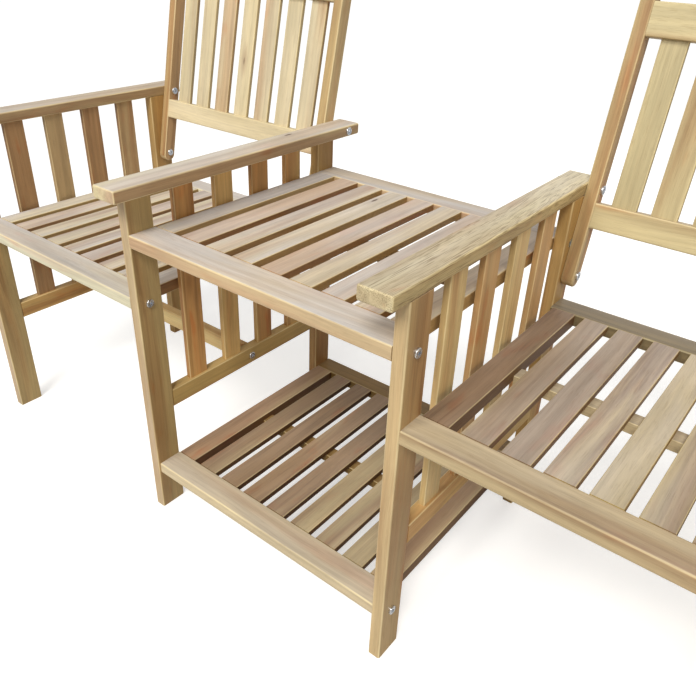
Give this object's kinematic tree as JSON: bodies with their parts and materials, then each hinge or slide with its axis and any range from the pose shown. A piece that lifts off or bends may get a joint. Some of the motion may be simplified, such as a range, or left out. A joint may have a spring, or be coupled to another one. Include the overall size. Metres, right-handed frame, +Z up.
{
  "type": "garden bench with side table",
  "caption": "Slatted wooden garden bench: separate seats with leaning slatted backs and wide armrests, joined by a raised slatted table with a low shelf under it.",
  "frame": {"origin": "on the ground, under the middle of the whole bench's bounding box", "axes": "+X to the right along the bench for someone who looks at its front, +Y from the front to the back, +Z up"},
  "size_m": [1.5488, 0.5866, 0.8784],
  "materials": {
    "table_wood": "weathered acacia, thin matt oil",
    "armrest_wood": "weathered acacia, thin matt oil",
    "seat_wood": "acacia, thin satin oil",
    "back_wood": "acacia, thin satin oil",
    "frame_wood": "acacia, thin satin oil",
    "shelf_wood": "acacia, thin satin oil",
    "dowel_wood": "plain turned hardwood",
    "zinc_plated_steel": "bright zinc plating"
  },
  "bodies": {
    "root": {"armrest_bolts": "zinc_plated_steel", "barrel_nuts": "zinc_plated_steel", "left_back_bottom_rail": "back_wood", "left_back_inner_stile": "back_wood", "left_back_outer_stile": "back_wood", "left_back_slats": "back_wood", "left_back_top_rail": "back_wood", "left_inner_armrest": "armrest_wood", "left_inner_front_leg": "frame_wood", "left_inner_low_rail": "frame_wood", "left_inner_rear_leg": "frame_wood", "left_inner_slats": "frame_wood", "left_outer_armrest": "armrest_wood", "left_outer_front_leg": "frame_wood", "left_outer_low_rail": "frame_wood", "left_outer_rear_leg": "frame_wood", "left_outer_slats": "frame_wood", "left_seat_batten": "seat_wood", "left_seat_front_rail": "seat_wood", "left_seat_rear_rail": "seat_wood", "left_seat_side_slats": "seat_wood", "left_seat_slats": "seat_wood", "left_stretcher": "frame_wood", "rail_bolts": "zinc_plated_steel", "rail_dowels": "dowel_wood", "right_back_bottom_rail": "back_wood", "right_back_inner_stile": "back_wood", "right_back_outer_stile": "back_wood", "right_back_slats": "back_wood", "right_back_top_rail": "back_wood", "right_inner_armrest": "armrest_wood", "right_inner_front_leg": "frame_wood", "right_inner_low_rail": "frame_wood", "right_inner_rear_leg": "frame_wood", "right_inner_slats": "frame_wood", "right_outer_armrest": "armrest_wood", "right_outer_front_leg": "frame_wood", "right_outer_low_rail": "frame_wood", "right_outer_rear_leg": "frame_wood", "right_outer_slats": "frame_wood", "right_seat_batten": "seat_wood", "right_seat_front_rail": "seat_wood", "right_seat_rear_rail": "seat_wood", "right_seat_side_slats": "seat_wood", "right_seat_slats": "seat_wood", "right_stretcher": "frame_wood", "shelf_batten": "shelf_wood", "shelf_front_rail": "shelf_wood", "shelf_rear_rail": "shelf_wood", "shelf_side_slats": "shelf_wood", "shelf_slats": "shelf_wood", "sleeve_nuts": "zinc_plated_steel", "stile_bolts": "zinc_plated_steel", "table_batten": "table_wood", "table_front_rail": "table_wood", "table_rail_bolts": "zinc_plated_steel", "table_rear_rail": "table_wood", "table_side_slats": "table_wood", "table_slats": "table_wood"}
  },
  "joints": []
}
